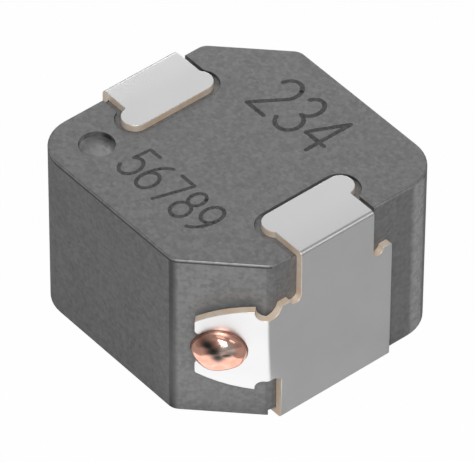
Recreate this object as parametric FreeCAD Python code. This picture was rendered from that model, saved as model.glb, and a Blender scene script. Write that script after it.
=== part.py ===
import FreeCAD
import Part

import math
import os

from FreeCAD import Matrix, Placement, Vector

# A shielded surface-mount power inductor, in millimetres.
# A block of pressed metal powder holds a two-layer winding of round wire. Two folded sheet terminals
# grip the block on its +X and -X sides, and each wire end is melted to a bead on its terminal.
# +X runs from one terminal to the other, +Z is up, and the origin is under the middle of the block,
# on the board.

# Pressed block
block_side = 7.0
block_height = 4.9
chamfer_leg = 1.66           # along each side, at the +X -Y and the -X +Y corner
chamfer_blend_radius = 0.35  # where a chamfer meets a side
corner_radius = 1.06         # at the two other corners
top_edge_radius = 0.05
bottom_edge_radius = 0.03
dimple_radius = 0.45
dimple_depth = 0.15
dimple_from_side = 1.14      # from the -X and the -Y side to the dimple's centre

# Terminal sheet
sheet = 0.2
bend_inner_radius = 0.02     # of the coined bends at the top and the foot of the side plate
bend_outer_radius = 0.12
fold_inner_radius = 0.03     # of the coined fold between the side plate and the weld flag
fold_outer_radius = 0.16
tab_proud = 0.1              # the top tab stands this far out of the block
board_standoff = 0.02        # the solder pads stand this far out of the block
recess_clearance = 0.16      # round the top tab
pad_recess_clearance = 0.19  # beside and behind the solder pad
recess_lip_clearance = 0.05  # from the block's rounded lip to the inside of a bend

# Top tab
tab_length = 1.58            # from the terminal's outer face
ear_radius = 0.35
near_ear_reach = 0.11        # past the neck on the side of the weld flag
far_ear_reach = 0.335        # past the neck on the other side
ear_blend_radius = 0.05

# Side plate and solder pad
shoulder_rise = 1.225        # above the middle of the block's height
shoulder_ledge = 0.27        # level part of each shoulder, outside its notch
shoulder_notch_radius = 0.155
shoulder_corner_radius = 0.06
plate_margin = 0.145         # from where a chamfer would start to the plate's free edge
pad_length = 1.7             # from the terminal's outer face
pad_corner_radius = 0.2

# Weld flag, folded round in front of the chamfer
lead_drop_from_middle = 0.03  # of the wire ends and the flag, below the middle of the block
flag_gap = 0.12              # between the chamfer and the flag
flag_end = 0.62              # past the middle of the chamfer
flag_height = 2.53           # at its widest place
flag_edge_radius = 3.3
flag_corner_radius = 0.08
relief_width = 0.236         # of the reliefs above and below the fold, from it to the flag's widest place
relief_depth = 0.275         # up or down from the flag's widest place
root_drop = 1.2              # of the lower relief's end on the plate, below the middle of the block
wire_slot_clearance = 0.07
slot_mouth_radius = 0.12

# Winding
wire_diameter = 0.7
turn_gap = 0.05              # insulation and play between neighbouring turns
side_wall = 0.75             # of the block outside the winding
paired_turns = 3             # whole turns from each lead to the middle of the wire
lead_bend_radius = 0.8
lead_straight = 0.2          # between the bend and the part of the lead that is exactly straight
lead_step = 0.4              # of the pitch, from a lead to the turn it joins
layer_change = 80.0          # degrees of turn in which the wire moves to the other layer
points_per_turn = 24
points_per_piece = 4         # of the swept surface
bend_points = 4

# Weld bead
bead_length = 1.32
bead_height = 1.16
bead_rise = 0.42
bead_rim_rise = 0.05         # of the steep rim under the dome
bead_shift = 0.03            # from the wire towards the flag's end
bead_foot = 0.2              # from the wire to the round end of what fills the flag's slot
dome_points = 8
dome_fullness = 0.85         # below 1 the dome is fuller than an ellipse

# Derived places
half = block_side / 2
block_low = board_standoff
block_top = block_low + block_height
block_middle = block_low + block_height / 2
outer_face = half + sheet
tab_top = block_top + tab_proud
bend_reach = bend_inner_radius + sheet
bend_axis_x = half - bend_inner_radius
recess_lip_radius = bend_inner_radius + recess_lip_clearance
shoulder = block_middle + shoulder_rise
root = block_middle - root_drop
lead_height = block_middle - lead_drop_from_middle
chamfer_distance = (block_side - chamfer_leg) * math.sqrt(0.5)
flag_distance = chamfer_distance + flag_gap
chamfer_normal = Vector(1, -1, 0).normalize()
chamfer_along = Vector(1, 1, 0).normalize()
plate_half = half - chamfer_leg - plate_margin
neck_half = plate_half - shoulder_ledge - 2 * shoulder_notch_radius
fold_line = flag_distance * math.sqrt(2) - half - fold_inner_radius * math.tan(math.pi / 8)
fold_axis = Vector(half - fold_inner_radius, -fold_line, 0)
fold_end = fold_axis.dot(chamfer_along)
fold_half_height = flag_height / 2 - relief_depth
fold_high = lead_height + fold_half_height
fold_low = lead_height - fold_half_height
flag_widest = fold_end - relief_width
ear_middle_x = outer_face - tab_length + ear_radius
near_ear_y = ear_radius - near_ear_reach - neck_half
far_ear_y = far_ear_reach - ear_radius + neck_half
wire_pitch = wire_diameter + turn_gap
wire_slot = wire_diameter + 2 * wire_slot_clearance
outer_turn_radius = half - side_wall - wire_diameter / 2
inner_turn_radius = outer_turn_radius - wire_pitch
lead_bend_out = math.sqrt(outer_turn_radius ** 2 + 2 * outer_turn_radius * lead_bend_radius)
lead_bend_turn = math.atan2(lead_bend_radius, lead_bend_out)
straight_end = lead_bend_out + lead_straight
wire_end = flag_distance + sheet
past = 1.0                   # a cutting tool runs this far past what it cuts

up = Vector(0, 0, 1)


def outline(start, steps):
    """A closed face in the XY plane. A step is the end of a line, or the middle and the end of an arc."""
    edges = []
    here = Vector(*start)
    for step in list(steps) + [start]:
        if isinstance(step[0], tuple):
            middle, end = Vector(*step[0]), Vector(*step[1])
            edges.append(Part.Arc(here, middle, end).toShape())
        else:
            end = Vector(*step)
            if here.distanceToPoint(end) < 1e-6:
                continue
            edges.append(Part.LineSegment(here, end).toShape())
        here = end
    return Part.Face(Part.Wire(edges))


def on_circle(x, y, radius, degrees):
    """The point of a circle about (x, y) at an angle from the X axis."""
    turn = math.radians(degrees)
    return (x + radius * math.cos(turn), y + radius * math.sin(turn))


def circle_height(middle, radius, x):
    """How far a circle reaches above or below its middle at x."""
    return math.sqrt(radius ** 2 - (x - middle) ** 2)


def level_arc_middle(level_end, other_end):
    """The middle point of the arc between two points that is level at the first of them."""
    across = other_end[0] - level_end[0]
    rise = other_end[1] - level_end[1]
    half_turn = math.atan2(abs(rise), abs(across))
    radius = (across ** 2 + rise ** 2) / (2 * abs(rise))
    out = math.copysign(radius * math.sin(half_turn), across)
    away = math.copysign(radius * (1 - math.cos(half_turn)), rise)
    return (level_end[0] + out, level_end[1] + away)


def laid(solid, base, x_axis, y_axis):
    """The solid with its own X and Y laid along the two axes from base."""
    z_axis = x_axis.cross(y_axis)
    turn = Matrix(x_axis.x, y_axis.x, z_axis.x, base.x,
                  x_axis.y, y_axis.y, z_axis.y, base.y,
                  x_axis.z, y_axis.z, z_axis.z, base.z,
                  0, 0, 0, 1)
    placed = solid.copy()
    placed.Placement = Placement(turn).multiply(solid.Placement)
    return placed


def rounded(solid, places, radius):
    """The solid with its edges along Z through the (x, y) places filleted."""
    chosen = []
    for edge in solid.Edges:
        first, last = edge.Vertexes[0].Point, edge.Vertexes[-1].Point
        if abs(first.x - last.x) > 1e-6 or abs(first.y - last.y) > 1e-6:
            continue
        for x, y in places:
            if math.hypot(first.x - x, first.y - y) < 1e-4:
                chosen.append(edge)
    return solid.makeFillet(radius, chosen)


def half_turned(solid):
    """The solid turned half a turn about the vertical middle line."""
    turned = solid.copy()
    turned.rotate(Vector(0, 0, 0), up, 180)
    return turned


def rectangle(x_low, x_high, y_low, y_high):
    """A face in the XY plane between four limits."""
    return outline((x_low, y_low), [(x_high, y_low), (x_high, y_high), (x_low, y_high)])


def tab_solid(grow, thickness, x_high):
    """The top tab's outline, grown on all sides, from its inner end to x_high."""
    radius = ear_radius + grow
    side = neck_half + grow
    inner_x = ear_middle_x - radius
    far_turn = math.asin((side - far_ear_y) / radius)
    near_turn = math.asin((-side - near_ear_y) / radius)
    far_joint = ear_middle_x + radius * math.cos(far_turn)
    near_joint = ear_middle_x + radius * math.cos(near_turn)
    far_middle = 90 + math.degrees(far_turn) / 2
    near_middle = -90 + math.degrees(near_turn) / 2
    face = outline((far_joint, side), [
        (on_circle(ear_middle_x, far_ear_y, radius, far_middle), (inner_x, far_ear_y)),
        (inner_x, near_ear_y),
        (on_circle(ear_middle_x, near_ear_y, radius, near_middle), (near_joint, -side)),
        (x_high, -side),
        (x_high, side),
    ])
    solid = face.extrude(Vector(0, 0, thickness))
    return rounded(solid, [(far_joint, side), (near_joint, -side)], ear_blend_radius)


def side_plate():
    """The plate on the block's side: neck, shoulders with notches, and the band that runs to the fold."""
    notch = neck_half + shoulder_notch_radius
    ledge = plate_half - shoulder_ledge
    dip = shoulder - shoulder_notch_radius
    low = bend_reach
    high = tab_top - bend_reach
    face = outline((plate_half, low), [
        (plate_half, shoulder),
        (ledge, shoulder),
        ((notch, dip), (neck_half, shoulder)),
        (neck_half, high),
        (-neck_half, high),
        (-neck_half, shoulder),
        ((-notch, dip), (-ledge, shoulder)),
        (-plate_half, shoulder),
        (level_arc_middle((-fold_line, fold_high), (-plate_half, shoulder)), (-fold_line, fold_high)),
        (-fold_line, fold_low),
        (level_arc_middle((-fold_line, fold_low), (-plate_half, root)), (-plate_half, root)),
        (-plate_half, low),
    ])
    solid = rounded(face.extrude(Vector(0, 0, sheet)), [(plate_half, shoulder)], shoulder_corner_radius)
    return laid(solid, Vector(half, 0, 0), Vector(0, 1, 0), up)


def flag_edge_reach(s):
    """How far the flag's curved edges are from its middle line, s along the chamfer."""
    lowered = circle_height(fold_end, flag_edge_radius, flag_widest) - flag_height / 2
    return circle_height(fold_end, flag_edge_radius, s) - lowered


def weld_flag():
    """The flat flag in front of the chamfer, with the slot that takes the wire."""
    middle = lead_height
    half_way = (flag_widest - flag_end) / 2
    half_way_high = middle + flag_edge_reach(half_way)
    half_way_low = middle - flag_edge_reach(half_way)
    end_high = middle + flag_edge_reach(-flag_end)
    end_low = middle - flag_edge_reach(-flag_end)
    high_corner = (flag_widest, middle + flag_height / 2)
    low_corner = (flag_widest, middle - flag_height / 2)
    slot = wire_slot / 2
    face = outline((-flag_end, end_high), [
        (-flag_end, middle + slot),
        (0, middle + slot),
        ((slot, middle), (0, middle - slot)),
        (-flag_end, middle - slot),
        (-flag_end, end_low),
        ((half_way, half_way_low), low_corner),
        (level_arc_middle((fold_end, fold_low), low_corner), (fold_end, fold_low)),
        (fold_end, fold_high),
        (level_arc_middle((fold_end, fold_high), high_corner), high_corner),
        ((half_way, half_way_high), (-flag_end, end_high)),
    ])
    solid = face.extrude(Vector(0, 0, sheet))
    solid = rounded(solid, [(-flag_end, end_high), (-flag_end, end_low)], flag_corner_radius)
    solid = rounded(solid, [(-flag_end, middle + slot), (-flag_end, middle - slot)], slot_mouth_radius)
    return laid(solid, chamfer_normal * flag_distance, chamfer_along, up)


def bent_section(inner, outer, degrees):
    """A section of the sheet that turns from the X axis about the origin, pressed to its outer radius."""
    reach = inner + sheet
    x, y = on_circle(0, 0, (reach - outer) / math.cos(math.radians(degrees / 2)), degrees / 2)
    return outline((inner, 0), [
        (reach, 0),
        on_circle(x, y, outer, 0),
        (on_circle(x, y, outer, degrees / 2), on_circle(x, y, outer, degrees)),
        on_circle(0, 0, reach, degrees),
        on_circle(0, 0, inner, degrees),
        (on_circle(0, 0, inner, degrees / 2), (inner, 0)),
    ])


def bend(half_width, height, rise):
    """A quarter bend along Y, from the side plate's end at height to the flat that lies inwards of it."""
    section = bent_section(bend_inner_radius, bend_outer_radius, 90)
    solid = section.extrude(Vector(0, 0, 2 * half_width))
    return laid(solid, Vector(bend_axis_x, rise * half_width, height), Vector(1, 0, 0), up * rise)


def fold():
    """The eighth turn between the side plate and the weld flag."""
    section = bent_section(fold_inner_radius, fold_outer_radius, 45)
    solid = section.extrude(Vector(0, 0, fold_high - fold_low))
    return laid(solid, fold_axis + up * fold_high, Vector(1, 0, 0), Vector(0, -1, 0))


def terminal():
    """The terminal on the +X side, one sheet with every fold."""
    tab = tab_solid(0, sheet, bend_axis_x)
    tab.translate(Vector(0, 0, tab_top - sheet))
    top_bend = bend(neck_half, tab_top - bend_reach, 1)
    low_bend = bend(plate_half, bend_reach, -1)

    pad_end = outer_face - pad_length
    pad = rectangle(pad_end, bend_axis_x, -plate_half, plate_half).extrude(Vector(0, 0, sheet))
    pad = rounded(pad, [(pad_end, -plate_half), (pad_end, plate_half)], pad_corner_radius)

    whole = side_plate().fuse([tab, top_bend, low_bend, pad, fold(), weld_flag()])
    return whole.removeSplitter().Solids[0]


def block_blank():
    """The block with its corners and edges rounded, before anything is cut from it."""
    leg = half - chamfer_leg
    face = rectangle(-half, half, -half, half)
    solid = face.extrude(Vector(0, 0, block_height))
    corner = outline((leg, -half), [(half, -half), (half, -leg)]).extrude(Vector(0, 0, block_height))
    solid = solid.cut([corner, half_turned(corner)])
    solid = rounded(solid, [(half, half), (-half, -half)], corner_radius)
    bends = [(leg, -half), (half, -leg), (-leg, half), (-half, leg)]
    solid = rounded(solid, bends, chamfer_blend_radius)
    middle = block_height / 2
    for radius, side in ((top_edge_radius, 1), (bottom_edge_radius, -1)):
        level = [edge for edge in solid.Edges if edge.BoundBox.ZLength < 1e-6]
        chosen = [edge for edge in level if (edge.CenterOfMass.z - middle) * side > 0]
        solid = solid.makeFillet(radius, chosen)
    solid.translate(Vector(0, 0, block_low))
    return solid


def recess_tools():
    """What the +X terminal takes out of the block: tab recess, pad recess and a rounded lip at each."""
    tab_floor = tab_top - sheet
    tab = tab_solid(recess_clearance, tab_proud + past, half + past)
    tab.translate(Vector(0, 0, tab_floor))
    wide = plate_half + pad_recess_clearance
    pad_end = outer_face - pad_length - pad_recess_clearance
    pad = rectangle(pad_end, half + past, -wide, wide).extrude(Vector(0, 0, sheet + past))
    pad = rounded(pad, [(pad_end, -wide), (pad_end, wide)], pad_corner_radius)
    pad.translate(Vector(0, 0, -past))
    narrow = neck_half + recess_clearance
    tab_lip = lip_tool(narrow, tab_floor, -1)
    pad_lip = lip_tool(wide, sheet, 1)
    return [tab, pad, tab_lip, pad_lip]


def lip_tool(wide, height, inward):
    """What rounds the block's side edge at a recess floor; inward is the side the block is on."""
    radius = recess_lip_radius
    axis_x = half - radius
    axis_z = height + inward * radius
    turn = 45 * -inward
    face = outline((axis_x, height), [
        (on_circle(axis_x, axis_z, radius, turn), (half, axis_z)),
        (half + past, axis_z),
        (half + past, height),
    ])
    return laid(face.extrude(Vector(0, 0, 2 * wide)), Vector(0, wide, 0), Vector(1, 0, 0), up)


def wound_points():
    """Points of the wire's middle line from the end of its straight lead to its middle."""
    change = math.radians(layer_change)
    whole_turn = 2 * math.pi
    to_middle = math.pi / 2 + whole_turn * paired_turns - lead_bend_turn
    step = lead_step * wire_pitch
    layer_height = (step + wire_pitch * (to_middle - change) / whole_turn) / 2
    outer_angle = (layer_height - step) / wire_pitch * whole_turn

    # Each point is the distance out from the middle, the distance aside and the height below the leads.
    points = [(straight_end, 0.0, 0.0)]
    for i in range(bend_points):
        part = i / bend_points
        turn = (math.pi / 2 - lead_bend_turn) * part
        out = lead_bend_out - lead_bend_radius * math.sin(turn)
        aside = lead_bend_radius * (1 - math.cos(turn))
        points.append((out, aside, step * smooth(part)))
    count = int(points_per_turn * to_middle / whole_turn)
    for i in range(count + 1):
        turned = to_middle * i / count
        if turned < outer_angle:
            radius = outer_turn_radius
            below = step + wire_pitch * turned / whole_turn
        elif turned < outer_angle + change:
            radius = outer_turn_radius - wire_pitch * smooth((turned - outer_angle) / change)
            below = layer_height
        else:
            radius = inner_turn_radius
            below = layer_height - wire_pitch * (turned - outer_angle - change) / whole_turn
        angle = lead_bend_turn + turned
        points.append((radius * math.cos(angle), radius * math.sin(angle), below))
    return [chamfer_normal * out + chamfer_along * aside + Vector(0, 0, lead_height - below)
            for out, aside, below in points]


def smooth(part):
    """From 0 to 1 with a level start and end."""
    return part * part * (3 - 2 * part)


def swept_faces(edge):
    """The round skin of the wire along one edge of its middle line."""
    heading = edge.tangentAt(edge.FirstParameter)
    level = Vector(heading.x, heading.y, 0)
    start = edge.valueAt(edge.FirstParameter)
    circle = Part.Circle(start, level, wire_diameter / 2)
    pipe = Part.BRepOffsetAPI.MakePipeShell(Part.Wire([edge]))
    pipe.setBiNormalMode(up)
    pipe.add(Part.Wire([circle.toShape()]))
    pipe.build()
    return pipe.shape().Faces


def winding():
    """The round wire, swept from the near lead to its middle and turned over for its other half."""
    points = wound_points()
    beyond = [turned_over(point) for point in points[-2:-2 - points_per_turn:-1]]
    curve = Part.BSplineCurve()
    end_heading = (beyond[-1] - beyond[-2]).normalize()
    curve.interpolate(Points=points + beyond, InitialTangent=-chamfer_normal, FinalTangent=end_heading)
    spans = len(points) - 1
    pieces = math.ceil(spans / points_per_piece)
    cuts = [curve.parameter(points[round(i * spans / pieces)]) for i in range(1, pieces + 1)]
    first = chamfer_normal * wire_end + Vector(0, 0, lead_height)
    edges = [Part.LineSegment(first, points[0]).toShape()]
    for low, high in zip([curve.FirstParameter] + cuts, cuts):
        piece = curve.copy()
        piece.segment(low, high)
        edges.append(piece.toShape())
    skin = [Part.Face(Part.Wire([Part.Circle(first, chamfer_normal, wire_diameter / 2).toShape()]))]
    for edge in edges:
        skin += swept_faces(edge)
    far_skin = []
    for face in skin:
        turned = face.copy()
        turned.rotate(Vector(0, 0, lead_height), chamfer_along, 180)
        far_skin.append(turned)
    shell = Part.makeCompound(skin + far_skin)
    shell.sewShape(1e-4)
    solid = Part.Solid(shell.Shells[0])
    if solid.Volume < 0:
        solid.reverse()
    return solid


def turned_over(point):
    """The point turned half a turn about the level line midway between the two leads."""
    along = chamfer_along * point.dot(chamfer_along)
    return along * 2 - point + Vector(0, 0, lead_height * 2)


def bead_dome():
    """The melted dome, drawn with the flag's outer face as its XY plane."""
    radius = bead_length / 2
    dome_rise = bead_rise - bead_rim_rise
    crest = [Vector(radius, 0, bead_rim_rise)]
    for i in range(1, dome_points):
        turn = math.pi / 2 * i / dome_points
        out = radius * math.cos(turn) ** dome_fullness
        crest.append(Vector(out, 0, bead_rim_rise + dome_rise * math.sin(turn)))
    crest.append(Vector(0, 0, bead_rise))
    curve = Part.BSplineCurve()
    curve.interpolate(Points=crest, InitialTangent=up, FinalTangent=Vector(-1, 0, 0))
    middle = Vector(0, 0, 0)
    rim = Vector(radius, 0, 0)
    edges = [
        Part.LineSegment(middle, rim).toShape(),
        Part.LineSegment(rim, crest[0]).toShape(),
        curve.toShape(),
        Part.LineSegment(crest[-1], middle).toShape(),
    ]
    dome = Part.Face(Part.Wire(edges)).revolve(middle, up, 360)
    squash = Matrix()
    squash.scale(1, bead_height / bead_length, 1)
    return dome.transformGeometry(squash)


def weld_bead():
    """The bead on the near flag: its dome, and the foot round the wire that fills the flag's slot."""
    dome = bead_dome()
    dome.translate(Vector(-bead_shift, 0, sheet))
    slot = wire_slot / 2
    foot = outline((-bead_foot, slot), [
        ((-bead_foot - slot, 0), (-bead_foot, -slot)),
        (0, -slot),
        ((slot, 0), (0, slot)),
    ]).extrude(Vector(0, 0, sheet))
    foot = foot.cut(Part.makeCylinder(wire_diameter / 2, sheet))
    bead = dome.fuse(foot).removeSplitter()
    return laid(bead, chamfer_normal * flag_distance + Vector(0, 0, lead_height), chamfer_along, up)


def save(shape, node):
    """Write one node's STEP file."""
    shape.exportStep(os.path.join("parts", node + ".step"))


def main():
    os.makedirs("parts", exist_ok=True)
    near_terminal = terminal()
    near_bead = weld_bead().Solids[0]
    coil = winding()

    dimple = Part.makeCylinder(dimple_radius, dimple_depth + past)
    dimple_place = dimple_from_side - half
    dimple.translate(Vector(dimple_place, dimple_place, block_top - dimple_depth))
    near_tools = recess_tools()
    far_tools = [half_turned(tool) for tool in near_tools]
    core = block_blank().cut(near_tools + far_tools + [dimple]).cut(coil).Solids[0]

    save(core, "moulded_core")
    save(coil, "coil")
    save(near_terminal, "terminal_a")
    save(half_turned(near_terminal), "terminal_b")
    save(near_bead, "weld_bead_a")
    save(half_turned(near_bead), "weld_bead_b")


main()
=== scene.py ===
import math

import bmesh
import bpy
from mathutils import Matrix, Vector, noise
from mathutils.bvhtree import BVHTree


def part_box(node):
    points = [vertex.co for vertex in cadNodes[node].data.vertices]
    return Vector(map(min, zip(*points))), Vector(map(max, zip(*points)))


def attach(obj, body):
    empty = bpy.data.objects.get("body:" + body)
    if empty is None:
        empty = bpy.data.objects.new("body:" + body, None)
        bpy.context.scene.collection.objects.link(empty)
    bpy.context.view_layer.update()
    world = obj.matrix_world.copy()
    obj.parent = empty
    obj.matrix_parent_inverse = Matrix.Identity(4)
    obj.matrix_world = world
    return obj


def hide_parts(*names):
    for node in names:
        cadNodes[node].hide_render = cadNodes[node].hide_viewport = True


# A shielded surface-mount power inductor, dressed over its CAD frame.
# Lengths in the dictionaries are in millimetres, and mm turns them into Blender's metres.

mm = 0.001

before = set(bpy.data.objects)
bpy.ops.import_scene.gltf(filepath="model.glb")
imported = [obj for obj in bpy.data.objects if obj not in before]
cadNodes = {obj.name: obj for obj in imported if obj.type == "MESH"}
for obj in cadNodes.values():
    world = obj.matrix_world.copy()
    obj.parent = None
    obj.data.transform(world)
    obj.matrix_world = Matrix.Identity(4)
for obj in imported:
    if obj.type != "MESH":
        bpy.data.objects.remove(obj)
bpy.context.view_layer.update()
print("frame loaded:", ", ".join(sorted(cadNodes)))

# Where the chamfers lie: outwards, and level along them
chamferNormal = Vector((1, -1, 0)).normalized()
chamferAlong = Vector((1, 1, 0)).normalized()
up = Vector((0, 0, 1))

plainWhite = (1, 1, 1, 1)
sameWay = 0.97              # cosines from which two directions are the same, and nearly the same
nearlySameWay = 0.9
flatAngle = 0.3             # degrees, up to which two faces are parts of one flat


# Small helpers for node trees and meshes

def put(tree, kind, sockets=None, **settings):
    node = tree.nodes.new(kind)
    for key, value in settings.items():
        setattr(node, key, value)
    for key, value in (sockets or {}).items():
        if isinstance(value, bpy.types.NodeSocket):
            tree.links.new(value, node.inputs[key])
        else:
            node.inputs[key].default_value = value
    return node


def shaderGroup(name, inputs, outputs):
    tree = bpy.data.node_groups.new(name, "ShaderNodeTree")
    for label, value in inputs.items():
        socket = tree.interface.new_socket(label, in_out="INPUT", socket_type="NodeSocketFloat")
        socket.default_value = value
    for label in outputs:
        tree.interface.new_socket(label, in_out="OUTPUT", socket_type="NodeSocketFloat")
    return tree, put(tree, "NodeGroupInput"), put(tree, "NodeGroupOutput")


def objectCoordinates(tree, scale=(1, 1, 1)):
    # Object coordinates in millimetres, stretched by scale
    place = put(tree, "ShaderNodeTexCoord").outputs["Object"]
    return put(tree, "ShaderNodeMapping", {
        "Vector": place,
        "Scale": tuple(1 / mm * part for part in scale),
    }).outputs["Vector"]


def maths(tree, operation, first, second=0.0, clamp=False):
    node = put(tree, "ShaderNodeMath", operation=operation, use_clamp=clamp)
    for socket, value in zip(node.inputs, (first, second)):
        if isinstance(value, bpy.types.NodeSocket):
            tree.links.new(value, socket)
        else:
            socket.default_value = value
    return node.outputs[0]


def spread(tree, value, low, high, newLow=0.0, newHigh=1.0):
    # Maps value from low-high to newLow-newHigh and holds it there. The finishes name the four as one tuple.
    return put(tree, "ShaderNodeMapRange", {
        "Value": value, "From Min": low, "From Max": high, "To Min": newLow, "To Max": newHigh,
    }).outputs["Result"]


def blendColours(tree, share, first, second):
    node = put(tree, "ShaderNodeMix", data_type="RGBA")
    for socket, value in ((node.inputs[0], share), (node.inputs[6], first), (node.inputs[7], second)):
        if isinstance(value, bpy.types.NodeSocket):
            tree.links.new(value, socket)
        else:
            socket.default_value = value
    return node.outputs[2]


def noiseAt(tree, place, perMm, detail, **sockets):
    # A noise's share of 0 to 1, with so many blobs to the millimetre
    return put(tree, "ShaderNodeTexNoise", {
        "Vector": place, "Scale": perMm, "Detail": detail, **sockets,
    }).outputs["Fac"]


def around(tree, share, middle, swing):
    # Turns a share of 0 to 1 into values that lie half a swing to either side of middle
    return maths(tree, "ADD", maths(tree, "MULTIPLY", share, swing), middle - swing / 2)


def attribute(tree, name):
    return put(tree, "ShaderNodeAttribute", attribute_name=name).outputs["Fac"]


def bumped(tree, height, strength, relief):
    # A normal from a height, with the relief in millimetres
    return put(tree, "ShaderNodeBump", {
        "Height": height, "Strength": strength, "Distance": relief * mm,
    }).outputs["Normal"]


def newMaterial(name):
    material = bpy.data.materials.new(name)
    material.use_nodes = True
    tree = material.node_tree
    shader = tree.nodes["Principled BSDF"]
    return material, tree, shader


def useGroup(tree, group, **values):
    node = put(tree, "ShaderNodeGroup", node_tree=group)
    for label, value in values.items():
        node.inputs[label].default_value = value
    return node.outputs


def linkIn(tree, shader, **sources):
    for label, source in sources.items():
        tree.links.new(source, shader.inputs[label.replace("_", " ")])


def mergedShell(node):
    # The CAD node's triangles with their doubles merged
    mesh = cadNodes[node].data.copy()
    if "custom_normal" in mesh.attributes:
        mesh.attributes.remove(mesh.attributes["custom_normal"])
    shell = bmesh.new()
    shell.from_mesh(mesh)
    bpy.data.meshes.remove(mesh)
    bmesh.ops.remove_doubles(shell, verts=shell.verts, dist=2e-4 * mm)
    return shell


def objectFrom(shell, name, materials):
    mesh = bpy.data.meshes.new(name)
    shell.to_mesh(mesh)
    shell.free()
    for material in materials:
        mesh.materials.append(material)
    thing = bpy.data.objects.new(name, mesh)
    bpy.context.scene.collection.objects.link(thing)
    return thing


def edgeAngle(edge):
    return edge.calc_face_angle(0.0) if len(edge.link_faces) == 2 else 0.0


def mergeFlats(shell, **settings):
    bmesh.ops.dissolve_limit(shell, angle_limit=math.radians(flatAngle), verts=shell.verts,
                             edges=shell.edges, **settings)


def markCreases(shell, sharpAngle, isRounded):
    # Makes every sharp edge a crease, and gives those that are to be rounded a bevel weight
    weights = shell.edges.layers.float.new("bevel_weight_edge")
    for edge in shell.edges:
        crease = edgeAngle(edge) > math.radians(sharpAngle)
        edge.smooth = not crease
        edge[weights] = 1.0 if crease and isRounded(edge) else 0.0
    for face in shell.faces:
        face.smooth = True


def applied(thing):
    # The mesh that the object's modifiers make of it
    graph = bpy.context.evaluated_depsgraph_get()
    return bpy.data.meshes.new_from_object(thing.evaluated_get(graph))


def roundEdges(thing, radius, steps):
    bevel = thing.modifiers.new("edges", "BEVEL")
    bevel.limit_method = "WEIGHT"
    bevel.width = radius * mm
    bevel.segments = steps
    bevel.harden_normals = True
    mesh = applied(thing)
    thing.modifiers.clear()
    thing.data = mesh


# Shared surface effects

powderLook = {
    "grain": 0.085,         # size of a pressed grain
    "cloud": 0.55,          # size of the soft mottling over the grains
    "bendsPerMm": 9.0,      # of the grains' outlines
    "bend": 0.10,           # how far they bend
    "cellTone": 0.40,       # shares of the tone: grain by grain, within a grain, and in clouds
    "fineTone": 0.45,
    "cloudTone": 0.15,
    "poresPerMm": 11.0,
    "pores": (0.70, 0.78),  # noise from which a pore starts, and from which it is deep
    "fineHeight": 0.6,      # shares of the relief
    "cellHeight": -0.5,
    "poreDepth": 0.6,
    "dragWidth": 0.07,      # of the faint upright lines that the die leaves on the sides
    "dragsPerMm": 0.35,     # along them
    "dragTone": 0.22,
    "dragHeight": 0.5,
    "dragSlopes": (0.2, 0.6, 1.0, 0.0),     # how level a face is, against how much it is dragged
    "poreTone": 0.25,
    "tones": (0.22, 0.78),  # that give the dark and the light colour
    "dark": (0.118, 0.118, 0.119, 1),
    "light": (0.206, 0.206, 0.207, 1),
    # painted highlight: the paler colour of the top edges, the chamfers and a strip of each round corner
    "highlightColour": (0.42, 0.42, 0.42, 1),
    "highlightTones": (0.35, 0.55, 0.6, 1.0),  # the painted highlight is stronger on light grains than on dark ones
    "highlightShare": 0.6,
    "highlightSmooth": 0.22,      # how much less rough a place with painted highlight is
    # painted shade: the dark colour of the line under the top edge, of the recess walls and of the bands
    # beside the chamfers
    "paintedShade": (0.022, 0.022, 0.023, 1),
    "paintedShadeShare": 0.92,
    "bandShare": 0.85,
    "roughness": 0.495,
    "toneSmooth": 0.15,     # how much less rough a light grain is than a dark one
    "specular": 0.75,
    "bump": 1.0,
    "relief": 0.0035,
}


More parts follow.
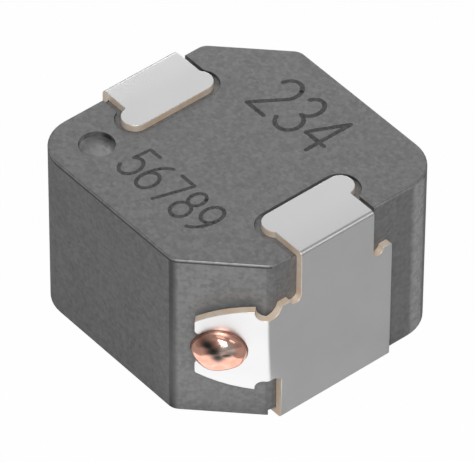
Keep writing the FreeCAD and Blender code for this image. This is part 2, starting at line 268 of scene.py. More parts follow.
def powderGrain():
    tree, given, result = shaderGroup(
        "powderGrain", {"Grain": powderLook["grain"], "Cloud": powderLook["cloud"]},
        ["Tone", "Height", "Pit", "Drag"])
    place = objectCoordinates(tree)
    perGrain = maths(tree, "DIVIDE", 1.0, given.outputs["Grain"])
    perCloud = maths(tree, "DIVIDE", 1.0, given.outputs["Cloud"])
    bent = put(tree, "ShaderNodeTexNoise", {
        "Vector": place, "Scale": powderLook["bendsPerMm"], "Detail": 2.0,
    })
    middle = (0.5, 0.5, 0.5)
    shift = put(tree, "ShaderNodeVectorMath", {0: bent.outputs["Color"], 1: middle}, operation="SUBTRACT")
    shift = put(tree, "ShaderNodeVectorMath", {0: shift.outputs[0], "Scale": powderLook["bend"]},
                operation="SCALE")
    wavy = put(tree, "ShaderNodeVectorMath", {0: place, 1: shift.outputs[0]}, operation="ADD").outputs[0]
    cells = put(tree, "ShaderNodeTexVoronoi", {"Vector": wavy, "Scale": perGrain}, feature="SMOOTH_F1")
    cellTone = put(tree, "ShaderNodeSeparateColor", {"Color": cells.outputs["Color"]}).outputs[0]
    fine = noiseAt(tree, place, perGrain, 4.0, Roughness=0.65)
    cloud = noiseAt(tree, place, perCloud, 3.0)
    # Tone: mostly grain by grain, a little in clouds
    tone = maths(tree, "MULTIPLY", cellTone, powderLook["cellTone"])
    tone = maths(tree, "ADD", tone, maths(tree, "MULTIPLY", fine, powderLook["fineTone"]))
    tone = maths(tree, "ADD", tone, maths(tree, "MULTIPLY", cloud, powderLook["cloudTone"]))
    # Pits: small dark pores between grains, few and far between
    pores = noiseAt(tree, place, powderLook["poresPerMm"], 1.0)
    pit = spread(tree, pores, *powderLook["pores"])
    height = maths(tree, "ADD", maths(tree, "MULTIPLY", fine, powderLook["fineHeight"]),
                   maths(tree, "MULTIPLY", cells.outputs["Distance"], powderLook["cellHeight"]))
    height = maths(tree, "SUBTRACT", height, maths(tree, "MULTIPLY", pit, powderLook["poreDepth"]))
    # Drag: upright lines on the sides, from the block's way out of the die
    perDrag = 1 / powderLook["dragWidth"]
    drawn = objectCoordinates(tree, (perDrag, perDrag, powderLook["dragsPerMm"]))
    drag = noiseAt(tree, drawn, 1.0, 2.0)
    for label, source in (("Tone", tone), ("Height", height), ("Pit", pit), ("Drag", drag)):
        tree.links.new(source, result.inputs[label])
    return tree


sheetLook = {
    "streak": 0.03,         # width of a rolling streak
    "streakStretch": 0.04,  # along the rolling, 1 being as short as it is wide
    "smudge": 0.8,
}


def sheetWear():
    # For rolled and plated sheet: Streak runs with the rolling, Smudge is soft handling
    tree, given, result = shaderGroup(
        "sheetWear", {"Streak size": sheetLook["streak"], "Smudge size": sheetLook["smudge"]},
        ["Streak", "Smudge"])
    place = objectCoordinates(tree)
    perStreak = maths(tree, "DIVIDE", 1.0, given.outputs["Streak size"])
    perSmudge = maths(tree, "DIVIDE", 1.0, given.outputs["Smudge size"])
    drawn = objectCoordinates(tree, (1, sheetLook["streakStretch"], 1))
    streak = noiseAt(tree, drawn, perStreak, 3.0)
    smudge = noiseAt(tree, place, perSmudge, 1.0)
    for label, source in (("Streak", streak), ("Smudge", smudge)):
        tree.links.new(source, result.inputs[label])
    return tree


powderGrainGroup = powderGrain()
sheetWearGroup = sheetWear()


# Finishes

def sideMask(tree):
    # 1 on upright faces and 0 on level ones
    normal = put(tree, "ShaderNodeNewGeometry").outputs["Normal"]
    height = put(tree, "ShaderNodeSeparateXYZ", {"Vector": normal}).outputs["Z"]
    return spread(tree, maths(tree, "ABSOLUTE", height), *powderLook["dragSlopes"])


def pressedPowder():
    material, tree, shader = newMaterial("pressedPowder")
    grain = useGroup(tree, powderGrainGroup)
    drag = maths(tree, "MULTIPLY", maths(tree, "SUBTRACT", grain["Drag"], 0.5), sideMask(tree))
    tone = maths(tree, "ADD", grain["Tone"], maths(tree, "MULTIPLY", drag, powderLook["dragTone"]))
    tone = maths(tree, "SUBTRACT", tone, maths(tree, "MULTIPLY", grain["Pit"], powderLook["poreTone"]))
    tone = spread(tree, tone, *powderLook["tones"])
    colour = blendColours(tree, tone, powderLook["dark"], powderLook["light"])
    # Painted highlight: the top edges, the chamfers and a strip of each round corner are painted paler, and
    # made smoother
    paintedHighlight = maths(tree, "MULTIPLY", attribute(tree, "paintedHighlight"),
                spread(tree, grain["Tone"], *powderLook["highlightTones"]))
    highlightShare = maths(tree, "MULTIPLY", paintedHighlight, powderLook["highlightShare"])
    colour = blendColours(tree, highlightShare, colour, powderLook["highlightColour"])
    # Painted shade: a dark line under the top edge and darker recess walls, and a painted dark band, a dark
    # reflection, in the bends beside the chamfers
    shadeShare = maths(tree, "ADD", maths(tree, "MULTIPLY", attribute(tree, "paintedShade"), powderLook["paintedShadeShare"]),
                 maths(tree, "MULTIPLY", attribute(tree, "band"), powderLook["bandShare"]), clamp=True)
    colour = blendColours(tree, shadeShare, colour, powderLook["paintedShade"])
    rough = around(tree, grain["Tone"], powderLook["roughness"], -powderLook["toneSmooth"])
    rough = maths(tree, "SUBTRACT", rough, maths(tree, "MULTIPLY", paintedHighlight, powderLook["highlightSmooth"]))
    height = maths(tree, "ADD", grain["Height"], maths(tree, "MULTIPLY", drag, powderLook["dragHeight"]))
    shader.inputs["Specular IOR Level"].default_value = powderLook["specular"]
    linkIn(tree, shader, Base_Color=colour, Roughness=rough,
           Normal=bumped(tree, height, powderLook["bump"], powderLook["relief"]))
    return material


tinLook = {
    "clean": (0.785, 0.785, 0.785, 1),
    "smudged": (0.765, 0.766, 0.769, 1),
    "smudges": (0.35, 0.75),
    "roughness": 0.285,     # the denoiser leaves speckles where it crosses 0.274
    "smudgeRough": 0.05,
    "streakRough": 0.02,
}


def tinPlate():
    material, tree, shader = newMaterial("tinPlate")
    wear = useGroup(tree, sheetWearGroup)
    smudge = spread(tree, wear["Smudge"], *tinLook["smudges"])
    colour = blendColours(tree, smudge, tinLook["clean"], tinLook["smudged"])
    rough = maths(tree, "ADD", maths(tree, "MULTIPLY", smudge, tinLook["smudgeRough"]), tinLook["roughness"])
    rough = maths(tree, "ADD", rough, maths(tree, "MULTIPLY", wear["Streak"], tinLook["streakRough"]))
    shader.inputs["Metallic"].default_value = 1.0
    linkIn(tree, shader, Base_Color=colour, Roughness=rough)
    return material


edgeLook = {
    "copper": (0.93, 0.71, 0.53, 1),
    "tinSmear": (0.95, 0.85, 0.72, 1),
    "linesPerMm": 22.0,
    "smearsPerMm": 4.0,
    "smears": (0.35, 0.70),
    "metallic": 0.35,
    "roughness": 0.36,
    "lineRough": 0.2,
    "bump": 0.5,
    "relief": 0.004,
}


def shearedCopper():
    material, tree, shader = newMaterial("shearedCopper")
    # Shear lines run through the sheet, so they are fine along every edge
    place = objectCoordinates(tree)
    lines = noiseAt(tree, place, edgeLook["linesPerMm"], 3.0)
    patches = noiseAt(tree, place, edgeLook["smearsPerMm"], 4.0)
    smear = spread(tree, patches, *edgeLook["smears"])
    colour = blendColours(tree, smear, edgeLook["copper"], edgeLook["tinSmear"])
    rough = around(tree, lines, edgeLook["roughness"], edgeLook["lineRough"])
    shader.inputs["Metallic"].default_value = edgeLook["metallic"]
    linkIn(tree, shader, Base_Color=colour, Roughness=rough,
           Normal=bumped(tree, lines, edgeLook["bump"], edgeLook["relief"]))
    return material


beadLook = {
    "copper": (0.92, 0.44, 0.33, 1),
    "pale": (0.98, 0.60, 0.48, 1),
    "scorched": (0.07, 0.03, 0.02, 1),
    "darkReflection": (0.050, 0.058, 0.055, 1),   # painted dark reflection on the melt
    "paintedSheen": (1.0, 0.90, 0.82, 1),      # painted highlight, a pale cream sheen
    "sheenShare": 0.85,
    "skinsPerMm": 3.2,
    "skinBend": 0.8,
    "paleSkin": (0.40, 0.65),
    "scorchedSkin": (0.25, 0.60, 1.0, 0.7),
    "ripplesPerMm": 26.0,
    "roughness": 0.16,
    "skinRough": 0.12,
    "rimRough": 0.2,
    "bump": 0.25,
    "relief": 0.006,
}


def meltedCopper():
    material, tree, shader = newMaterial("meltedCopper")
    rim = attribute(tree, "rim")
    place = objectCoordinates(tree)
    skin = noiseAt(tree, place, beadLook["skinsPerMm"], 3.0, Distortion=beadLook["skinBend"])
    ripples = noiseAt(tree, place, beadLook["ripplesPerMm"], 2.0)
    pale = spread(tree, skin, *beadLook["paleSkin"])
    colour = blendColours(tree, pale, beadLook["copper"], beadLook["pale"])
    scorch = maths(tree, "MULTIPLY", rim, spread(tree, skin, *beadLook["scorchedSkin"]))
    colour = blendColours(tree, scorch, colour, beadLook["scorched"])
    # Painted sheen: a pale cream highlight; then a painted dark reflection over the middle
    paintedSheen = maths(tree, "MULTIPLY", attribute(tree, "paintedSheen"), beadLook["sheenShare"])
    colour = blendColours(tree, paintedSheen, colour, beadLook["paintedSheen"])
    colour = blendColours(tree, attribute(tree, "darkReflection"), colour, beadLook["darkReflection"])
    rough = around(tree, skin, beadLook["roughness"], beadLook["skinRough"])
    rough = maths(tree, "ADD", rough, maths(tree, "MULTIPLY", rim, beadLook["rimRough"]))
    shader.inputs["Metallic"].default_value = 1.0
    linkIn(tree, shader, Base_Color=colour, Roughness=rough,
           Normal=bumped(tree, ripples, beadLook["bump"], beadLook["relief"]))
    return material


wireLook = {
    "enamel": (0.62, 0.20, 0.07, 1),
    "enamelPale": (0.72, 0.29, 0.12, 1),
    "patchesPerMm": 2.5,
    "ripplesPerMm": 30.0,
    "metallic": 0.85,
    "roughness": 0.28,
    "patchRough": 0.1,
    "coatRoughness": 0.12,
    "bump": 0.3,
    "relief": 0.003,
}


def enamelledWire():
    material, tree, shader = newMaterial("enamelledWire")
    place = objectCoordinates(tree)
    patches = noiseAt(tree, place, wireLook["patchesPerMm"], 3.0)
    ripples = noiseAt(tree, place, wireLook["ripplesPerMm"], 2.0)
    colour = blendColours(tree, patches, wireLook["enamel"], wireLook["enamelPale"])
    rough = around(tree, patches, wireLook["roughness"], wireLook["patchRough"])
    shader.inputs["Metallic"].default_value = wireLook["metallic"]
    shader.inputs["Coat Weight"].default_value = 1.0
    shader.inputs["Coat Roughness"].default_value = wireLook["coatRoughness"]
    linkIn(tree, shader, Base_Color=colour, Roughness=rough,
           Normal=bumped(tree, ripples, wireLook["bump"], wireLook["relief"]))
    return material


burntLook = {
    "grain": 0.05,
    "dark": (0.045, 0.045, 0.047, 1),
    "light": (0.095, 0.095, 0.097, 1),
    "tones": (0.30, 0.70),
    "roughness": 0.755,
    "toneRough": 0.15,
    "bump": 0.8,
}


def burntPowder():
    material, tree, shader = newMaterial("burntPowder")
    grain = useGroup(tree, powderGrainGroup, Grain=burntLook["grain"])
    tone = spread(tree, grain["Tone"], *burntLook["tones"])
    colour = blendColours(tree, tone, burntLook["dark"], burntLook["light"])
    rough = around(tree, grain["Tone"], burntLook["roughness"], burntLook["toneRough"])
    linkIn(tree, shader, Base_Color=colour, Roughness=rough,
           Normal=bumped(tree, grain["Height"], burntLook["bump"], powderLook["relief"]))
    return material


powder = pressedPowder()
tin = tinPlate()
cutEdge = shearedCopper()
copperBead = meltedCopper()
enamel = enamelledWire()
burnt = burntPowder()
print("finishes made")


# Pressed block

block = {
    "rimRadius": 0.035,     # rounding of the recess and dimple rims in the top
    "rimSteps": 3,
    "sharpAngle": 35,       # degrees, from which an edge is a crease
    "highlightFrom": 0.005,       # depths below the top between which the outer edge gets painted highlight
    "highlightTo": 0.045,
    "highlightChamfer": 1.0,      # how much painted highlight, where a chamfer meets the top
    "highlightSide": 0.2,
    "highlightFlat": 0.28,        # painted highlight all over a chamfer
    "highlightCorner": 1.15,      # painted highlight along a strip of each round corner
    "chamferHalf": 12,      # degrees, up to which a wall's turn from a chamfer still counts as chamfer
    "cornerTurn": -60,      # degrees from a chamfer to the middle of the painted highlight strip
    "cornerHalf": 12,
    "shadeLineFrom": 0.050,      # depths of the painted shade line under the top edge
    "shadeLineTo": 0.100,
    "wallReach": 2.1,       # a wall nearer to the middle than this is a recess wall
    # painted shade on the recess walls and their rims
    "wallShade": 0.30,
    "wallDepth": 0.3,       # how far down the walls are marked at all
    "bandMiddle": 30,       # degrees from a chamfer to the painted dark band, a painted dark reflection, in the bend to its Y side
    "bandHalf": 24,
    "flatArea": 2.5,        # a larger face than this is one of the block's flats
    "topReach": 0.002,      # an edge less deep than this is in the top
}


def chamferTurn(normal):
    # Degrees from the nearest chamfer's direction, positive towards its Y side
    turn = (math.degrees(math.atan2(normal.y, normal.x)) + 45) % 180
    return 180 - turn if turn > 90 else -turn


def wallNormal(vert):
    total = Vector((0, 0, 0))
    for face in vert.link_faces:
        if abs(face.normal.z) < nearlySameWay:
            total += Vector((face.normal.x, face.normal.y, 0))
    return total.normalized()


def markBlock(shell, top):
    # Painted highlights and a painted dark band, for the material
    paintedHighlight = shell.verts.layers.float.new("paintedHighlight")
    band = shell.verts.layers.float.new("band")
    for depth in (block["shadeLineFrom"], block["shadeLineTo"]):
        bmesh.ops.bisect_plane(shell, geom=shell.verts[:] + shell.edges[:] + shell.faces[:],
                               plane_co=(0, 0, top - depth * mm), plane_no=(0, 0, 1))
    for vert in shell.verts:
        depth = (top - vert.co.z) / mm
        turn = chamferTurn(wallNormal(vert))
        if block["highlightFrom"] < depth < block["highlightTo"]:
            vert[paintedHighlight] = block["highlightChamfer"] if abs(turn) < block["chamferHalf"] else block["highlightSide"]
        if depth < block["highlightTo"]:
            continue
        flats = [face for face in vert.link_faces if face.calc_area() > block["flatArea"] * mm * mm]
        if flats:
            # a chamfer flat is painted paler all over, a painted highlight
            if any(abs(face.normal.dot(chamferNormal)) > sameWay for face in flats):
                vert[paintedHighlight] = block["highlightFlat"]
            continue
        # a painted dark band, standing for a dark reflection, in the bend beside each chamfer
        off = (turn - block["bandMiddle"]) / block["bandHalf"]
        vert[band] = max(0.0, 1 - off * off)
        # a painted highlight strip on each round corner
        if abs(turn - block["cornerTurn"]) < block["cornerHalf"]:
            vert[paintedHighlight] = block["highlightCorner"]


def markPaintedShade(mesh, top):
    # Painted shade: the dark line round the outside, and darker recess walls and their rims
    paintedShade = mesh.attributes.new("paintedShade", "FLOAT", "FACE")
    for face in mesh.polygons:
        depth = (top - face.center.z) / mm
        if abs(face.normal.z) > sameWay or depth > block["wallDepth"]:
            continue
        reach = face.normal.x * face.center.x + face.normal.y * face.center.y
        if reach < block["wallReach"] * mm:
            paintedShade.data[face.index].value = block["wallShade"]
        elif block["shadeLineFrom"] < depth < block["shadeLineTo"] and abs(face.normal.x) < nearlySameWay:
            paintedShade.data[face.index].value = 1.0


def pressedBlock():
    shell = mergedShell("moulded_core")
    mergeFlats(shell)
    top = max(vert.co.z for vert in shell.verts)
    markBlock(shell, top)
    rimLevel = top - block["topReach"] * mm
    markCreases(shell, block["sharpAngle"], lambda edge: all(vert.co.z > rimLevel for vert in edge.verts))
    piece = objectFrom(shell, "pressed_block", [powder])
    roundEdges(piece, block["rimRadius"], block["rimSteps"])
    markPaintedShade(piece.data, top)
    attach(piece, "root")
    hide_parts("moulded_core")
    print("pressed block:", len(piece.data.polygons), "faces")


pressedBlock()


# Folded terminals

terminalSheet = {
    "thickness": 0.2,
    "tolerance": 0.012,     # in the thickness
    "skinStep": 0.002,      # how deep under a face the search for the far skin starts
    "bendAngle": 40,        # degrees, the most between two small flats of one bend
    "edgeRadius": 0.016,
    "edgeSteps": 2,
    "sharpAngle": 35,
}


def paintCutEdges(shell):
    # A face is the sheet's own skin if the far skin lies one thickness behind it
    tree = BVHTree.FromBMesh(shell)
    low = (terminalSheet["thickness"] - terminalSheet["tolerance"]) * mm
    high = (terminalSheet["thickness"] + terminalSheet["tolerance"]) * mm
    step = terminalSheet["skinStep"] * mm
    skin = []
    for face in shell.faces:
        face.material_index = 1
        inwards = -face.normal
        start = face.calc_center_median() + inwards * step
        spot, normal, _, distance = tree.ray_cast(start, inwards, 2 * high)
        if spot is not None and low < distance + step < high and normal.dot(inwards) > sameWay:
            face.material_index = 0
            skin.append(face)
    # From there the skin goes on round the pressed bends, and every other face is a cut edge
    while skin:
        for edge in skin.pop().edges:
            if edgeAngle(edge) < math.radians(terminalSheet["bendAngle"]):
                for face in edge.link_faces:
                    if face.material_index == 1:
                        face.material_index = 0
                        skin.append(face)


def foldedTerminal(node, name):
    shell = mergedShell(node)
    paintCutEdges(shell)
    mergeFlats(shell, delimit={"MATERIAL"})
    markCreases(shell, terminalSheet["sharpAngle"], lambda edge: True)
    piece = objectFrom(shell, name, [tin, cutEdge])
    roundEdges(piece, terminalSheet["edgeRadius"], terminalSheet["edgeSteps"])
    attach(piece, "root")
    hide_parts(node)
    print(name + ":", len(piece.data.polygons), "faces")


foldedTerminal("terminal_a", "folded_terminal_a")
foldedTerminal("terminal_b", "folded_terminal_b")


# Melted beads

bead = {
    "length": 1.32,         # along the chamfer
    "height": 1.12,
    "rise": 0.40,           # off the flag
    "rimRise": 0.05,
    "fullness": 0.85,
    "skirt": 0.035,         # width of the thin wetted ring round it
    "shift": 0.03,          # from the wire towards the flag's free end
    "leadHeight": 2.44,
    "flagFace": 4.096,      # from the block's middle to the flag's outer face
    "lump": 0.055,          # how far the melt swells and sinks
    "lumpSize": 0.45,
    "smallLump": 0.35,      # shares of these that smaller lumps on top have
    "smallLumpsPerLump": 2.1,
    "squeeze": 0.05,        # how far the outline leaves a true oval
    "squeezeTurns": 1.3,
    "skirtShare": 0.08,     # shares of the way from the outer edge to the crest
    "rimShare": 0.16,
    "baseDepth": 0.004,
    # Soft ovals of painted dark reflection and of painted sheen, as middle and half widths
    "darkReflection": [(-0.25, 0.35, 0.20, 0.12), (-0.12, 0.24, 0.20, 0.15), (0.00, 0.11, 0.18, 0.17),
             (0.20, 0.17, 0.20, 0.08)],
    "paintedSheen": [(0.20, 0.37, 0.15, 0.09), (0.10, 0.29, 0.10, 0.07), (0.33, 0.25, 0.07, 0.08)],
    "ragged": 0.25,         # how uneven their outlines are
    "raggedPerMm": 6,
    "spotEdge": 1.4,        # how firm
    "rings": 36,
    "spokes": 96,
}


def beadPoint(share, turn, seed):
    # share runs from 0 at the skirt's outer edge to 1 at the crest; returns a point on the flag's face
    skirtShare = bead["skirtShare"]
    if share < skirtShare:
        part = share / skirtShare
        out = 1 + bead["skirt"] / (bead["length"] / 2) * (1 - part) ** 2
        rise = bead["rimRise"] * part
    else:
        part = (share - skirtShare) / (1 - skirtShare) * math.pi / 2
        out = math.cos(part) ** bead["fullness"] if part < math.pi / 2 - 1e-6 else 0.0
        rise = bead["rimRise"] + (bead["rise"] - bead["rimRise"]) * math.sin(part)
    along = bead["length"] / 2 * out * math.cos(turn)
    high = bead["height"] / 2 * out * math.sin(turn)
    depth = min(1.0, rise / bead["rise"])
    large = noise.noise(Vector((along, high, seed)) / bead["lumpSize"])
    small = noise.noise(Vector((along, high, seed + 7)) / bead["lumpSize"] * bead["smallLumpsPerLump"])
    swell = (large + small * bead["smallLump"]) * bead["lump"] * depth
    wobble = noise.noise(Vector((math.cos(turn), math.sin(turn), seed + 3)) * bead["squeezeTurns"])
    squeeze = 1 + wobble * bead["squeeze"]
    return Vector((along * squeeze, high * squeeze, rise + swell))


def spotShare(flat, spots, seed):
    # How far a point of the bead lies inside the nearest of the soft ovals
    ragged = noise.noise(Vector((flat.x, flat.y, seed)) * bead["raggedPerMm"]) * bead["ragged"]
    best = 0.0
    for x, y, wide, high in spots:
        reach = ((flat.x - x) / wide) ** 2 + ((flat.y - y) / high) ** 2
        best = max(best, math.exp(-(reach * (1 + ragged)) ** bead["spotEdge"]))
    return best


def meltedBead(node, name, seed, side):
    shell = bmesh.new()
    rimLayer = shell.verts.layers.float.new("rim")
    darkReflectionLayer = shell.verts.layers.float.new("darkReflection")
    sheenLayer = shell.verts.layers.float.new("paintedSheen")
    rings = []
    for i in range(bead["rings"]):
        share = i / bead["rings"]
        ring = []
        for j in range(bead["spokes"]):
            flat = beadPoint(share, 2 * math.pi * j / bead["spokes"], seed)
            ring.append(shell.verts.new(flat))
            ring[-1][rimLayer] = max(0.0, 1 - share / bead["rimShare"])
            ring[-1][darkReflectionLayer] = spotShare(flat, bead["darkReflection"], seed)
            ring[-1][sheenLayer] = spotShare(flat, bead["paintedSheen"], seed + 2)
        rings.append(ring)
    crest = shell.verts.new(beadPoint(1.0, 0.0, seed))
    crest[darkReflectionLayer] = spotShare(crest.co, bead["darkReflection"], seed)
    crest[sheenLayer] = spotShare(crest.co, bead["paintedSheen"], seed + 2)
    for inner, outer in zip(rings[1:], rings):
        for j in range(bead["spokes"]):
            k = (j + 1) % bead["spokes"]
            shell.faces.new((outer[j], outer[k], inner[k], inner[j]))
    for j in range(bead["spokes"]):
        shell.faces.new((rings[-1][j], rings[-1][(j + 1) % bead["spokes"]], crest))
    # The base goes a little into the flag's skin, and closes the shell
    base = [shell.verts.new(vert.co - up * bead["baseDepth"]) for vert in rings[0]]
    for j in range(bead["spokes"]):
        k = (j + 1) % bead["spokes"]
        shell.faces.new((base[j], base[k], rings[0][k], rings[0][j]))
    shell.faces.new(list(reversed(base)))
    for face in shell.faces:
        face.smooth = True
    place = Matrix.Identity(4)
    for row in range(3):
        place[row][0] = chamferAlong[row] * mm
        place[row][1] = up[row] * mm
        place[row][2] = chamferNormal[row] * mm
    centre = chamferNormal * bead["flagFace"] - chamferAlong * bead["shift"] + up * bead["leadHeight"]
    place.translation = centre * mm
    if side < 0:
        place = Matrix.Rotation(math.pi, 4, "Z") @ place
    bmesh.ops.transform(shell, matrix=place, verts=shell.verts)
    bmesh.ops.recalc_face_normals(shell, faces=shell.faces)
    piece = objectFrom(shell, name, [copperBead])
    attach(piece, "root")
    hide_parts(node)
    print(name + ":", len(piece.data.polygons), "faces")


meltedBead("weld_bead_a", "melted_bead_a", 1.7, 1)
meltedBead("weld_bead_b", "melted_bead_b", 5.2, -1)


# Winding, inside the block

cadNodes["coil"].data.materials.clear()
cadNodes["coil"].data.materials.append(enamel)
print("winding finished")


# Marking: plain digits, burnt into the top by rows of small spots

marking = {
    "large": {"digits": "234", "start": (-1.27, 1.34), "height": 1.40, "width": 0.66, "pitch": 0.86,
              "stroke": 0.118},
    "small": {"digits": "56789", "start": (-1.50, -2.53), "height": 1.03, "width": 0.50, "pitch": 0.63,
              "stroke": 0.100},
    "spotStep": 0.028,
    "middleShare": 0.8,     # of a stroke's width, filled between the spots
    "unevenness": 0.12,
    "lift": 0.003,          # of the burnt skin above the block's top
    "seed": 4,
}


def arcPoints(middleX, middleY, radiusX, radiusY, first, last, count=18):
    points = []
    for i in range(count + 1):
        turn = math.radians(first + (last - first) * i / count)
        points.append((middleX + radiusX * math.cos(turn), middleY + radiusY * math.sin(turn)))
    return points


def digitStrokes(digit):
    # Strokes of a digit in a box one unit wide and one unit high
    strokes = {
        "2": [arcPoints(0.5, 0.73, 0.46, 0.27, 165, -32) + [(0.03, 0.0), (0.97, 0.0)]],
        "3": [arcPoints(0.46, 0.755, 0.40, 0.245, 155, -85) + arcPoints(0.46, 0.255, 0.50, 0.255, 85, -155)],
        "4": [[(0.74, 0.0), (0.74, 1.0), (0.0, 0.29), (1.0, 0.29)]],
        "5": [[(0.90, 1.0), (0.20, 1.0), (0.12, 0.53)] + arcPoints(0.47, 0.315, 0.49, 0.315, 128, -150)],
        "6": [arcPoints(0.98, 0.30, 0.94, 0.72, 108, 180) + arcPoints(0.5, 0.30, 0.46, 0.30, 180, 540, 30)],
        "7": [[(0.02, 1.0), (0.97, 1.0), (0.36, 0.0)]],
        "8": [arcPoints(0.5, 0.76, 0.37, 0.24, -90, 270, 30)
              + arcPoints(0.5, 0.26, 0.47, 0.26, 90, -270, 30)],
        "9": [arcPoints(0.02, 0.70, 0.94, 0.72, -72, 0) + arcPoints(0.5, 0.70, 0.46, 0.30, 0, 360, 30)],
    }
    return strokes[digit]


def strokeCurve(name, given, level):
    curve = bpy.data.curves.new(name, "CURVE")
    curve.dimensions = "3D"
    for i, digit in enumerate(given["digits"]):
        left = given["start"][0] + i * given["pitch"]
        for points in digitStrokes(digit):
            spline = curve.splines.new("POLY")
            spline.points.add(len(points) - 1)
            for target, (x, y) in zip(spline.points, points):
                place = (left + x * given["width"], given["start"][1] + y * given["height"], level)
                target.co = (*(part * mm for part in place), 1)
    thing = bpy.data.objects.new(name, curve)
    bpy.context.scene.collection.objects.link(thing)
    return thing


def burntStrokesTree():
    tree = bpy.data.node_groups.new("burntStrokes", "GeometryNodeTree")
    tree.interface.new_socket("Strokes", in_out="INPUT", socket_type="NodeSocketGeometry")
    for label, kind in (("Stroke width", "Float"), ("Spot step", "Float"), ("Unevenness", "Float"),
                        ("Lift", "Float"), ("Seed", "Int")):
        tree.interface.new_socket(label, in_out="INPUT", socket_type="NodeSocket" + kind)
    tree.interface.new_socket("Marks", in_out="OUTPUT", socket_type="NodeSocketGeometry")
    given = put(tree, "NodeGroupInput").outputs
    result = put(tree, "NodeGroupOutput")
    radius = maths(tree, "MULTIPLY", given["Stroke width"], 0.5)
    # A thin band down the middle of each stroke
    band = put(tree, "GeometryNodeCurvePrimitiveQuadrilateral", {
        "Width": maths(tree, "MULTIPLY", given["Stroke width"], marking["middleShare"]),
        "Height": given["Lift"],
    })
    middle = put(tree, "GeometryNodeCurveToMesh", {
        "Curve": given["Strokes"], "Profile Curve": band.outputs["Curve"], "Fill Caps": True,
    })
    # Round spots along it, each a little larger or smaller than the next
    points = put(tree, "GeometryNodeCurveToPoints", {
        "Curve": given["Strokes"], "Length": given["Spot step"]}, mode="LENGTH")
    spot = put(tree, "GeometryNodeMeshCylinder", {
        "Vertices": 12, "Radius": radius, "Depth": given["Lift"]}, fill_type="NGON")
    size = put(tree, "FunctionNodeRandomValue", data_type="FLOAT")
    tree.links.new(maths(tree, "SUBTRACT", 1.0, given["Unevenness"]), size.inputs[2])
    tree.links.new(maths(tree, "ADD", 1.0, given["Unevenness"]), size.inputs[3])
    tree.links.new(given["Seed"], size.inputs["Seed"])
    spots = put(tree, "GeometryNodeInstanceOnPoints", {
        "Points": points.outputs["Points"], "Instance": spot.outputs["Mesh"], "Scale": size.outputs[1]})
    both = put(tree, "GeometryNodeJoinGeometry")
    tree.links.new(spots.outputs["Instances"], both.inputs["Geometry"])
    tree.links.new(middle.outputs["Mesh"], both.inputs["Geometry"])
    plain = put(tree, "GeometryNodeRealizeInstances", {"Geometry": both.outputs["Geometry"]})
    finish = put(tree, "GeometryNodeSetMaterial", {"Geometry": plain.outputs["Geometry"], "Material": burnt})
    tree.links.new(finish.outputs["Geometry"], result.inputs["Marks"])
    return tree


def burntDigits(name, given, level):
    digits = strokeCurve(name + "_strokes", given, level)
    modifier = digits.modifiers.new("spots", "NODES")
    modifier.node_group = burntTree
    wanted = {
        "Stroke width": given["stroke"] * mm,
        "Spot step": marking["spotStep"] * mm,
        "Unevenness": marking["unevenness"],
        "Lift": marking["lift"] * mm,
        "Seed": marking["seed"],
    }
    for item in burntTree.interface.items_tree:
        if item.in_out == "INPUT" and item.name in wanted:
            modifier[item.identifier] = wanted[item.name]
    mesh = applied(digits)
    piece = bpy.data.objects.new(name, mesh)
    bpy.context.scene.collection.objects.link(piece)
    bpy.data.objects.remove(digits)
    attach(piece, "root")
    print(name + ":", len(mesh.polygons), "faces")


burntTree = burntStrokesTree()
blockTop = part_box("moulded_core")[1].z / mm
burntDigits("large_digits", marking["large"], blockTop)
burntDigits("small_digits", marking["small"], blockTop)


# Floor, lamps and camera

studio = {
    "floorSide": 900,
    "floorColour": (0.50, 0.50, 0.50, 1),
    "floorRoughness": 0.8,
    "whiteShare": 0.985,    # of plain white in what the camera sees of the floor
    "worldStrength": 0.29,
    "aimHeight": 2.5,       # of the lamps
    "lamps": {
        "key": {"azimuth": -42, "elevation": 44, "distance": 170, "size": (80, 80), "power": 0.160},
        "side": {"azimuth": 34, "elevation": 42, "distance": 170, "size": (40, 90), "power": 0.012},
        "overhead": {"azimuth": -45, "elevation": 84, "distance": 150, "size": (70, 70), "power": 0.010},
        "back": {"azimuth": 140, "elevation": 43, "distance": 170, "size": (110, 110), "power": 0.0145},
        "rear": {"azimuth": 138, "elevation": 16, "distance": 170, "size": (60, 60), "power": 0.050},
    },
    # A white card lying in front of the flag, seen only in what mirrors it
    "card": {"azimuth": -50, "reach": 7.8, "height": 0.06, "size": (7.5, 6.5), "strength": 1.22},
}


def studioFloor():
    bpy.ops.mesh.primitive_plane_add(size=studio["floorSide"] * mm)
    floor = bpy.context.object
    floor.name = "floor"
    material, tree, shader = newMaterial("paleFloor")
    shader.inputs["Base Color"].default_value = studio["floorColour"]
    shader.inputs["Roughness"].default_value = studio["floorRoughness"]
    white = put(tree, "ShaderNodeEmission", {"Color": plainWhite, "Strength": 1.0})
    path = put(tree, "ShaderNodeLightPath")
    share = maths(tree, "MULTIPLY", path.outputs["Is Camera Ray"], studio["whiteShare"])
    mixed = put(tree, "ShaderNodeMixShader", {0: share, 1: shader.outputs["BSDF"],
                                              2: white.outputs["Emission"]})
    tree.links.new(mixed.outputs["Shader"], tree.nodes["Material Output"].inputs["Surface"])
    floor.data.materials.append(material)


def studioWorld():
    world = bpy.data.worlds.new("studio")
    bpy.context.scene.world = world
    world.use_nodes = True
    tree = world.node_tree
    sky = tree.nodes["Background"]
    sky.inputs["Color"].default_value = plainWhite
    sky.inputs["Strength"].default_value = studio["worldStrength"]
    white = put(tree, "ShaderNodeBackground", {"Color": plainWhite, "Strength": 1.0})
    path = put(tree, "ShaderNodeLightPath")
    mixed = put(tree, "ShaderNodeMixShader", {0: path.outputs["Is Camera Ray"], 1: sky.outputs["Background"],
                                              2: white.outputs["Background"]})
    tree.links.new(mixed.outputs["Shader"], tree.nodes["World Output"].inputs["Surface"])


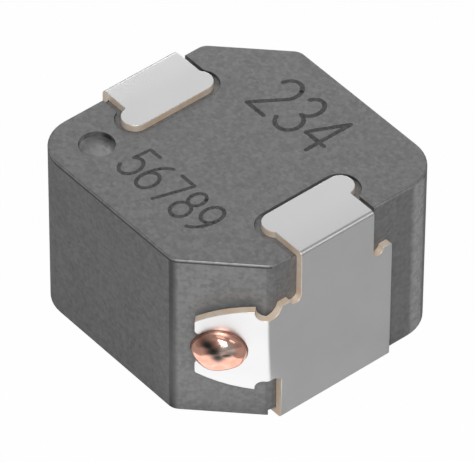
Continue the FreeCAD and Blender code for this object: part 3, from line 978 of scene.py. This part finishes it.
def studioLamp(name, given):
    turn, rise = math.radians(given["azimuth"]), math.radians(given["elevation"])
    direction = Vector((math.cos(turn) * math.cos(rise), math.sin(turn) * math.cos(rise), math.sin(rise)))
    lamp = bpy.data.lights.new(name, "AREA")
    lamp.shape = "RECTANGLE"
    lamp.size, lamp.size_y = given["size"][0] * mm, given["size"][1] * mm
    lamp.energy = given["power"]
    thing = bpy.data.objects.new(name, lamp)
    bpy.context.scene.collection.objects.link(thing)
    thing.location = (direction * given["distance"] + up * studio["aimHeight"]) * mm
    thing.rotation_euler = direction.to_track_quat("Z", "Y").to_euler()


def whiteCard(given):
    turn = math.radians(given["azimuth"])
    place = Vector((math.cos(turn) * given["reach"], math.sin(turn) * given["reach"], given["height"])) * mm
    bpy.ops.mesh.primitive_plane_add(size=mm, location=place, rotation=(0, 0, turn))
    card = bpy.context.object
    card.name = "white_card"
    card.scale = (given["size"][0], given["size"][1], 1)
    material, tree, _ = newMaterial("whiteCard")
    glow = put(tree, "ShaderNodeEmission", {"Color": plainWhite, "Strength": given["strength"]})
    tree.links.new(glow.outputs["Emission"], tree.nodes["Material Output"].inputs["Surface"])
    material.cycles.emission_sampling = "NONE"
    card.data.materials.append(material)
    card.visible_camera = False
    card.visible_diffuse = False
    card.visible_shadow = False


photoView = {
    "azimuth": 50.03,       # degrees from -Y towards +X
    "elevation": 43.31,
    "roll": 0.34,
    "distance": 160.83,
    "aimAside": 0.007,
    "aimUp": 1.73,
    "lens": 505.5,
    "sensor": 36.0,
    "boardStandoff": 0.02,
    "nearest": 1,           # what the camera shows, in millimetres from it
    "farthest": 5000,
}


def photoCamera():
    turn, rise, roll = (math.radians(photoView[key]) for key in ("azimuth", "elevation", "roll"))
    back = Vector((math.sin(turn) * math.cos(rise), -math.cos(turn) * math.cos(rise), math.sin(rise)))
    right = (-back).cross(up).normalized()
    above = right.cross(-back)
    place = right * photoView["aimAside"] + above * photoView["aimUp"] + back * photoView["distance"]
    place += up * photoView["boardStandoff"]
    rolledRight = right * math.cos(roll) + above * math.sin(roll)
    rolledUp = above * math.cos(roll) - right * math.sin(roll)
    camera = bpy.data.objects.new("camera", bpy.data.cameras.new("camera"))
    bpy.context.scene.collection.objects.link(camera)
    camera.data.sensor_fit = "HORIZONTAL"
    camera.data.sensor_width = photoView["sensor"]
    camera.data.lens = photoView["lens"]
    camera.data.clip_start = photoView["nearest"] * mm
    camera.data.clip_end = photoView["farthest"] * mm
    columns = Matrix((rolledRight, rolledUp, back)).transposed().to_4x4()
    columns.translation = place * mm
    camera.matrix_world = columns
    bpy.context.scene.camera = camera


studioFloor()
studioWorld()
for lampName, lampSizes in studio["lamps"].items():
    studioLamp(lampName, lampSizes)
whiteCard(studio["card"])
photoCamera()
bpy.context.scene.view_settings.view_transform = "Standard"
print("studio and camera set")
